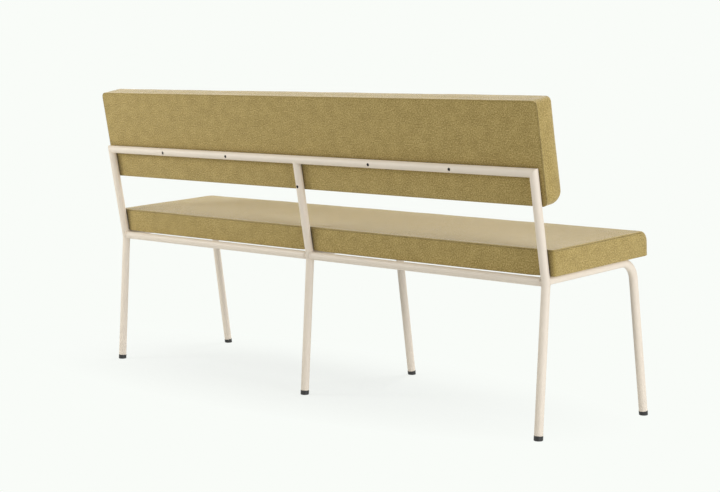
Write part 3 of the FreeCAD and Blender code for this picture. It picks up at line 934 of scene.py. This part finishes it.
class BENCH_OT_back_cushion(bpy.types.Operator):
    """Make the boxed back cushion, flat where it bears on the frame"""

    bl_idname = "bench.back_cushion"
    bl_label = "Back Cushion"

    def execute(self, context):
        """Shape, swell and seam the back."""
        sizes = context.scene.bench_sizes
        low, high = BACK_AXES.box("back_cover")
        block = Block(
            half=high[0], low=low[2], high=high[2], thickness=high[1] - low[1] - BACK_SET,
            base_edge=sizes.back_rear_edge, low_edge=sizes.back_low_edge, high_edge=sizes.back_top_edge,
            end_edge=sizes.back_end_edge, low_corner=sizes.back_corner, high_corner=sizes.back_corner)
        flat, quads, chart = block.lattice(BACK_GRADING)
        u, v, w = flat.T
        points = block.shape(flat)
        points = np.stack((points[:, 0], high[1] - points[:, 2], points[:, 1]), axis=-1)
        piece = new_piece("back_cushion", BACK_AXES.to_world(points), quads,
                          cloth_material(context.scene.bench_colours), chart)
        puff(piece, hold(w, BACK_HOLD))
        on_panel = w < SAME_PLACE
        near_edge = near_seam(block.from_side(flat) - sizes.back_seam_set, BACK_SEAM)
        groove = np.where(on_panel, BACK_SEAM_SHARE * near_edge, 0)
        on_end = np.abs(u) > block.half - SAME_PLACE
        # painted shade: a dark line along the seam on the end faces, with no groove under it
        line = np.where(on_end, BACK_END_SHADE * near_seam(w - sizes.back_seam_set, BACK_END_SEAM), 0)
        sew(piece, flat, BACK_WAVES, sizes.seam_depth, groove, line)
        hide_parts("back_cover", "back_rear_cover")
        return {"FINISHED"}


# Welds

class TubeLine:
    """The straight axis of a tube: a point and a unit direction."""

    def __init__(self, point, way):
        """Keep the point and the direction at unit length."""
        self.point = np.array(point, float)
        self.way = np.array(way, float) / np.linalg.norm(way)

    def aside(self, points):
        """Return how points lie from the axis, square to it."""
        apart = points - self.point
        return apart - np.outer(apart @ self.way, self.way)

    def reach(self, points, way):
        """Return how far points must move along a way to meet the tube's surface.

        The distance s solves the quadratic |b + s a| = radius, with a and b the parts
        of the way and of the offset from the axis that are square to the axis; where
        the line only passes by, its nearest point counts.
        """
        square = way - (way @ self.way) * self.way
        apart = self.aside(points)
        a = square @ square
        b = apart @ square
        c = np.einsum("ij,ij->i", apart, apart) - TUBE_RADIUS ** 2
        return (-b - np.sqrt(np.maximum(b * b - a * c, 0))) / a


def unit(vectors):
    """Return vectors at unit length; zero stays zero."""
    return vectors / np.maximum(np.linalg.norm(vectors, axis=-1, keepdims=True), 1e-9)


WELD_STEPS = 180             # points around a weld
WELD_FACE = 7                # points across its face
WELD_RIPPLES = 34            # ripples around it
WELD_RIPPLE = 0.05           # how much a ripple widens it
WELD_FULLNESS = 0.3          # how far the face bends towards a straight line, from 0 to 0.5
WELD_SINK = 0.06 * MM        # how far a weld's edges go under the paint
WELD_ROOT = 0.5 * MM         # how deep its root goes
MITRE_BEAD = 0.7 * MM        # radius of the ground weld at a mitre
MITRE_SIDES = 8              # points around that
TUBE_LEAD = 60 * MM          # how far before a joint a tube's line begins
SKEW_WAY = (0.31, 0.52, 0.79)     # a direction that no tube has
WELD_ANGLES = np.linspace(0, 2 * np.pi, WELD_STEPS, endpoint=False)


def fillet_weld(branch, headers, leg):
    """Make the weld around the end of a tube that meets other tubes.

    The angle around the branch is one parameter. At each angle the line along the
    branch meets the nearest header at c; the weld's face is the Bezier curve, in the
    other parameter, from a point a weld leg back on the branch to a point a leg out
    on the header. Where the surfaces run into each other the leg shrinks to nothing.
    """
    side = unit(np.cross(branch.way, SKEW_WAY))
    other_side = np.cross(branch.way, side)
    radial = np.outer(np.cos(WELD_ANGLES), side) + np.outer(np.sin(WELD_ANGLES), other_side)
    ring = branch.point + TUBE_RADIUS * radial
    reaches = np.stack([header.reach(ring, branch.way) for header in headers])
    nearest = reaches.argmin(axis=0)
    corner = ring + reaches.min(axis=0)[:, None] * branch.way
    normals = np.stack([unit(header.aside(corner)) for header in headers])
    normal = np.take_along_axis(normals, nearest[None, :, None], axis=0)[0]
    slide = radial - np.einsum("ij,ij->i", radial, normal)[:, None] * normal
    width = leg * np.linalg.norm(slide, axis=1) * (1 + WELD_RIPPLE * np.sin(WELD_RIPPLES * WELD_ANGLES))
    start = corner - width[:, None] * branch.way - WELD_SINK * radial
    stop = corner + width[:, None] * unit(slide) - WELD_SINK * normal
    middle = corner + WELD_FULLNESS * (start + stop - 2 * corner)
    t = np.linspace(0, 1, WELD_FACE)[None, :, None]
    face = (1 - t) ** 2 * start[:, None] + 2 * t * (1 - t) * middle[:, None] + t ** 2 * stop[:, None]
    root = corner - WELD_ROOT * (radial + normal)
    points = np.concatenate([face, root[:, None]], axis=1)
    return points.reshape(-1, 3), ring_quads(WELD_STEPS, WELD_FACE + 1)


def mitre_weld(post, corner, rail_way):
    """Make the ground weld around a mitre: a thin ring along the cut, sunk into both tubes.

    The angle around the post is one parameter: its line meets the mitre plane, which
    is square to the sum of the two tubes' directions. The other goes round the ring.
    """
    cosines, sines = np.cos(WELD_ANGLES), np.sin(WELD_ANGLES)
    cut = unit(post.way + rail_way)
    across = np.cross(post.way, rail_way)
    ring = corner + TUBE_RADIUS * (np.outer(cosines, rail_way) + np.outer(sines, across))
    ring = ring - ((ring - corner) @ cut / (post.way @ cut))[:, None] * post.way
    outside = unit(np.outer(cosines, rail_way - post.way) + 2 * np.outer(sines, across))
    turn = np.linspace(0, 2 * np.pi, MITRE_SIDES, endpoint=False)[None, :, None]
    ways = np.cos(turn) * outside[:, None] + np.sin(turn) * cut
    points = (ring - WELD_ROOT * outside)[:, None] + MITRE_BEAD * ways
    return points.reshape(-1, 3), ring_quads(WELD_STEPS, MITRE_SIDES)


def weld_shapes(leg):
    """Return every weld of the frame, from the axes of the tubes that meet."""
    up = BACK_AXES.up
    shapes = []
    for x in LEG_X:
        joint = BACK_AXES.origin + x * ALONG
        post = TubeLine(joint, up)
        side = TubeLine(SEAT_AXES.to_world((x, -TUBE_LEAD, SIDE_RAIL)), SEAT_AXES.rear)
        shapes.append(fillet_weld(side, [post], leg))
        for sign in (-1, 1):
            if min(LEG_X) < x + sign * TUBE_LEAD < max(LEG_X):
                rail = TubeLine(joint + sign * TUBE_LEAD * ALONG, -sign * ALONG)
                shapes.append(fillet_weld(rail, [post, side], leg))
        top = BACK_AXES.to_world((x, 0, TOP_RAIL))
        if abs(x) < TUBE_LEAD:
            shapes.append(fillet_weld(TubeLine(top - TUBE_LEAD * up, up), [TubeLine(top, ALONG)], leg))
        else:
            shapes.append(mitre_weld(post, top, -np.sign(x) * ALONG))
    return shapes


class BENCH_OT_weld_frame(bpy.types.Operator):
    """Lay the painted welds where the tubes meet"""

    bl_idname = "bench.weld_frame"
    bl_label = "Weld Frame"

    def execute(self, context):
        """Make every weld as one piece."""
        points, quads = gather(weld_shapes(context.scene.bench_sizes.weld_leg))
        new_piece("frame_welds", points, quads, bpy.data.materials["cream_powder_coat"])
        return {"FINISHED"}


# Underside

SHEET_INSET = 18 * MM        # dust cloth in from the seat's sides
SHEET_GAP = 0.05 * MM        # its lower face below the CAD cover's
SHEET_THICKNESS = 0.3 * MM
SHEET_GRADING = (4 * MM, 14 * MM, 60 * MM)
SHEET_RAIL_WIDTH = 24 * MM   # how far from a side rail the cloth is pressed flat
SHEET_SAG = 1.2 * MM         # hang in the middle of a bay
HEM_WIDTH = 14 * MM          # turned edge of the dust cloth
HEM_RAMP = 1 * MM            # width of the step at its inner edge
STAPLE_LENGTH = 10 * MM
STAPLE_WIDTH = 1 * MM
STAPLE_THICKNESS = 0.6 * MM
STAPLE_PITCH = 46 * MM
STAPLE_RISE = 0.5 * MM       # how far a staple's ends bend up
STAPLE_CLEARANCE = 30 * MM   # staples to the side rails' axes


class BENCH_OT_dust_cloth(bpy.types.Operator):
    """Stretch the dust cloth under the seat board and staple its hem"""

    bl_idname = "bench.dust_cloth"
    bl_label = "Dust Cloth"

    def execute(self, context):
        """Make the thin sheet with its hem, then the staples."""
        colours = context.scene.bench_colours
        low, high = SEAT_AXES.box("seat_cover")
        half = high[0] - SHEET_INSET
        front = low[1] + SHEET_INSET
        rear = high[1] - SHEET_INSET
        under = low[2] - SHEET_GAP
        u = graded(-half, half, [-half, *LEG_X, half], *SHEET_GRADING)
        v = graded(front, rear, [front, rear], *SHEET_GRADING)
        flat, quads, chart = box_lattice(u, v, np.array([0, SHEET_THICKNESS]))
        self.shape_sheet(flat, half, front, rear)
        flat[:, 2] += under
        sheet = new_piece("dust_cloth", SEAT_AXES.to_world(flat), quads, dust_cloth_material(colours),
                          chart)
        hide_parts("seat_dust_cover")
        self.staple(colours, half, (front + HEM_WIDTH / 2, rear - HEM_WIDTH / 2), under)
        return {"FINISHED"}

    def shape_sheet(self, flat, half, front, rear):
        """Thicken the hem and let the cloth hang a little between the side rails.

        The hem drops by its own thickness over its width, and the middle of each bay
        hangs by a sine of the distance from the rails; both vanish over the rails.
        """
        x, y, z = flat.T
        free = 1 - np.exp(-(from_side_rail(x) / SHEET_RAIL_WIDTH) ** 4)
        inside = np.minimum(half - np.abs(x), np.minimum(y - front, rear - y))
        hem = np.clip((HEM_WIDTH - inside) / HEM_RAMP, 0, 1) * (z < SHEET_THICKNESS / 2)
        across = np.sin(np.pi * (y - front) / (rear - front))
        bay = np.abs(np.sin(np.pi * x / LEG_X[2]))
        flat[:, 2] = z - free * (SHEET_THICKNESS * hem + SHEET_SAG * across * bay)

    def staple(self, colours, half, rows, under):
        """Put staples along the front and rear hem, as short bars whose ends rise into the board."""
        bar_u = np.linspace(-0.5, 0.5, 5) * STAPLE_LENGTH
        bar_v = np.linspace(-0.5, 0.5, 3) * STAPLE_WIDTH
        bar_w = np.linspace(-1, 0, 3) * STAPLE_THICKNESS
        bar, quads, _ = box_lattice(bar_u, bar_v, bar_w)
        bar[:, 2] += STAPLE_RISE * (np.abs(bar[:, 0]) / (0.5 * STAPLE_LENGTH)) ** 4
        line = np.arange(-half + 0.5 * STAPLE_PITCH, half, STAPLE_PITCH)
        line = line[from_side_rail(line) > STAPLE_CLEARANCE]
        shapes = [(bar + (x, y, under - SHEET_THICKNESS), quads) for y in rows for x in line]
        points, faces = gather(shapes)
        material = steel_material("staple_steel", colours.zinc, 0.3)
        new_piece("dust_cloth_staples", SEAT_AXES.to_world(points), faces, material)


# Finishes of the frame and of what the cushions hold

BORE_REACH = 15 * MM         # bare bore past the outermost screws


def drilled_bores():
    """Return the bore around the screws of each drilled tube, as a stretch of the tube."""
    back_low, back_high = BACK_AXES.box("back_screws")
    seat_low, seat_high = SEAT_AXES.box("seat_screws")
    bores = {
        "top_rail": tube_stretch(BACK_AXES, (0, 0, TOP_RAIL), ALONG, back_high[0] + BORE_REACH),
        "middle_rear_post": tube_stretch(BACK_AXES, (0, 0, back_low[2]), BACK_AXES.up, BORE_REACH),
    }
    middle = (seat_low[1] + seat_high[1]) / 2
    half = (seat_high[1] - seat_low[1]) / 2 + BORE_REACH
    for x, name in zip(LEG_X, LEG_SETS):
        bores[name + "_front_leg"] = tube_stretch(SEAT_AXES, (x, middle, SIDE_RAIL), SEAT_AXES.rear, half)
    return bores


class BENCH_OT_paint_frame(bpy.types.Operator):
    """Powder coat the welded tubes"""

    bl_idname = "bench.paint_frame"
    bl_label = "Paint Frame"

    def execute(self, context):
        """Give every tube the cream coat, and those with screw holes a bare bore."""
        colours = context.scene.bench_colours
        set_material(TUBES, paint_material(colours))
        for name, bore in drilled_bores().items():
            set_material([name], paint_material(colours, name + "_coat", bore))
        return {"FINISHED"}


class BENCH_OT_finish_hardware(bpy.types.Operator):
    """Finish the glides, screws and threaded inserts"""

    bl_idname = "bench.finish_hardware"
    bl_label = "Finish Hardware"

    def execute(self, context):
        """Give plastic and steel their materials."""
        colours = context.scene.bench_colours
        set_material(GLIDES, plastic_material(colours))
        set_material(["back_screws", "seat_screws"], steel_material("black_steel", colours.black_steel, 0.35))
        set_material(["back_inserts", "seat_inserts"], steel_material("zinc_steel", colours.zinc, 0.25))
        return {"FINISHED"}


class BENCH_OT_finish_layers(bpy.types.Operator):
    """Finish the boards and foam inside the cushions"""

    bl_idname = "bench.finish_layers"
    bl_label = "Finish Layers"

    def execute(self, context):
        """Give plywood and foam their materials."""
        colours = context.scene.bench_colours
        set_material(["seat_board"], plywood_material("seat_plywood", colours, SEAT_AXES, "Z"))
        set_material(["back_panel"], plywood_material("back_plywood", colours, BACK_AXES, "Y"))
        set_material(["seat_foam", "back_foam"], foam_material(colours))
        return {"FINISHED"}


# Stage

FLOOR_HALF = 30.0
FLOOR_WHITE = (0.85, 0.86, 0.85)
FLOOR_SHADOW = 0.30          # share of the floor's own shading that the camera sees
SHADOW_MIDDLE = (0.25, 0.03, 0.0)
SHADOW_SPREAD = (1.0, 0.38, 1.0)
FADE_START = 0.3             # in spreads from the middle, where the shadow begins to fade
FADE_END = 1.2
WORLD_LIGHT = 0.27           # light from all round
NEUTRAL = (1.0, 1.0, 1.0)
COOL = (0.985, 1.005, 1.08)
LAMP_AIM = (0.0, 0.0, 0.45)
LAMPS = {                    # place, width, height, power in watts and colour
    "overhead": ((0.0, 0.5, 4.5), 4.0, 3.0, 64.0, NEUTRAL),
    "front": ((0.0, -4.5, 4.5), 4.0, 3.0, 220.0, NEUTRAL),
    "left_end": ((-13.0, 1.5, 3.4), 8.0, 6.8, 990.0, COOL),
    "rear": ((2.3, 2.2, 1.6), 0.8, 0.8, 37.0, NEUTRAL),
}
SENSOR_WIDTH = 36.0


def seen_directly(shader):
    """Return 1 for rays that show the background: from the camera, a gloss or through glass."""
    path = shader.add("LightPath").outputs
    seen = shader.math("MAXIMUM", path["Is Camera Ray"], path["Is Glossy Ray"])
    return shader.math("MAXIMUM", seen, path["Is Transmission Ray"])


def floor_material(pale):
    """White floor that keeps a faint shadow, which fades out over an ellipse around the bench."""
    material = bpy.data.materials.new("pale_floor")
    material.use_nodes = True
    shader = Tree(material.node_tree)
    white = shader.add("BsdfDiffuse", {"Color": rgba(FLOOR_WHITE)}).outputs[0]
    glow = shader.add("Emission", {"Color": rgba(pale), "Strength": 1.0}).outputs[0]
    apart = shader.vector("SUBTRACT", shader.object_place(), SHADOW_MIDDLE)
    far = shader.vector("LENGTH", shader.vector("DIVIDE", apart, SHADOW_SPREAD), output="Value")
    shadow = shader.math("SUBTRACT", 1.0, shader.spread(far, FADE_START, FADE_END))
    kept = shader.math("MULTIPLY", shadow, FLOOR_SHADOW)
    share = shader.math("MULTIPLY", seen_directly(shader), shader.math("SUBTRACT", 1.0, kept))
    mixed = shader.add("MixShader", {0: share, 1: white, 2: glow}).outputs[0]
    shader.add("OutputMaterial", {"Surface": mixed})
    return material


def add_floor(pale):
    """Lay a wide flat floor under the bench."""
    corners = np.array([(-1, -1, 0), (1, -1, 0), (1, 1, 0), (-1, 1, 0)]) * FLOOR_HALF
    mesh = bpy.data.meshes.new("floor")
    mesh.from_pydata(corners.tolist(), [], [(0, 1, 2, 3)])
    mesh.materials.append(floor_material(pale))
    add_object("floor", mesh)


def aim(thing, place, way):
    """Put a lamp or camera at a place and turn it to look along a way."""
    thing.location = place
    thing.rotation_euler = way.to_track_quat("-Z", "Y").to_euler()


def add_softbox(name, place, width, height, power, rgb):
    """Hang an area lamp at a place and aim it at the bench."""
    lamp = bpy.data.lights.new(name, "AREA")
    lamp.shape = "RECTANGLE"
    lamp.size = width
    lamp.size_y = height
    lamp.energy = power
    lamp.color = rgb
    aim(add_object(name, lamp), place, Vector(LAMP_AIM) - Vector(place))


def add_camera(stage):
    """Set up the camera at the picture's angle."""
    lens = bpy.data.cameras.new("camera")
    lens.sensor_fit = "HORIZONTAL"
    lens.sensor_width = SENSOR_WIDTH
    lens.lens = stage.lens
    level = math.cos(stage.camera_pitch)
    forward = Vector((math.sin(stage.camera_yaw) * level, -math.cos(stage.camera_yaw) * level,
                      -math.sin(stage.camera_pitch)))
    camera = add_object("camera", lens)
    aim(camera, stage.camera_place, forward)
    bpy.context.scene.camera = camera


def set_world(pale):
    """Light evenly from all round, and show the pale colour to rays that see it directly."""
    world = bpy.data.worlds.new("studio")
    world.use_nodes = True
    shader = Tree(world.node_tree)
    light = shader.add("Background", {"Color": rgba(NEUTRAL), "Strength": WORLD_LIGHT}).outputs[0]
    shown = shader.add("Background", {"Color": rgba(pale), "Strength": 1.0}).outputs[0]
    mixed = shader.add("MixShader", {0: seen_directly(shader), 1: light, 2: shown}).outputs[0]
    shader.add("OutputWorld", {"Surface": mixed})
    bpy.context.scene.world = world


class BENCH_OT_set_stage(bpy.types.Operator):
    """Set the floor, the light and the camera"""

    bl_idname = "bench.set_stage"
    bl_label = "Set Stage"

    def execute(self, context):
        """Make a pale floor, soft lamps and a camera at the picture's angle."""
        stage = context.scene.bench_stage
        add_floor(stage.pale)
        set_world(stage.pale)
        for name, settings in LAMPS.items():
            add_softbox(name, *settings)
        add_camera(stage)
        context.scene.view_settings.view_transform = "Standard"
        return {"FINISHED"}


# The add-on

OPERATORS = (
    BENCH_OT_paint_frame,
    BENCH_OT_weld_frame,
    BENCH_OT_finish_hardware,
    BENCH_OT_finish_layers,
    BENCH_OT_dust_cloth,
    BENCH_OT_seat_cushion,
    BENCH_OT_back_cushion,
    BENCH_OT_set_stage,
)


class BENCH_PT_pieces(bpy.types.Panel):
    """List the bench's pieces in the sidebar"""

    bl_idname = "BENCH_PT_pieces"
    bl_label = "Bench"
    bl_space_type = "VIEW_3D"
    bl_region_type = "UI"
    bl_category = "Bench"

    def draw(self, context):
        """Draw one button for each operator."""
        for operator in OPERATORS:
            self.layout.operator(operator.bl_idname)


GROUPS = {"bench_sizes": BenchSizes, "bench_colours": BenchColours, "bench_stage": BenchStage}
CLASSES = (*GROUPS.values(), *OPERATORS, BENCH_PT_pieces)


def register():
    """Register the classes and attach the properties to the scene."""
    for made in CLASSES:
        bpy.utils.register_class(made)
    for name, group in GROUPS.items():
        setattr(bpy.types.Scene, name, PointerProperty(type=group))


def unregister():
    """Take the properties and classes away again."""
    for name in GROUPS:
        delattr(bpy.types.Scene, name)
    for made in reversed(CLASSES):
        bpy.utils.unregister_class(made)


def main():
    """Make every piece in order."""
    register()
    for operator in OPERATORS:
        category, name = operator.bl_idname.split(".")
        getattr(getattr(bpy.ops, category), name)()


if __name__ == "__main__":
    main()
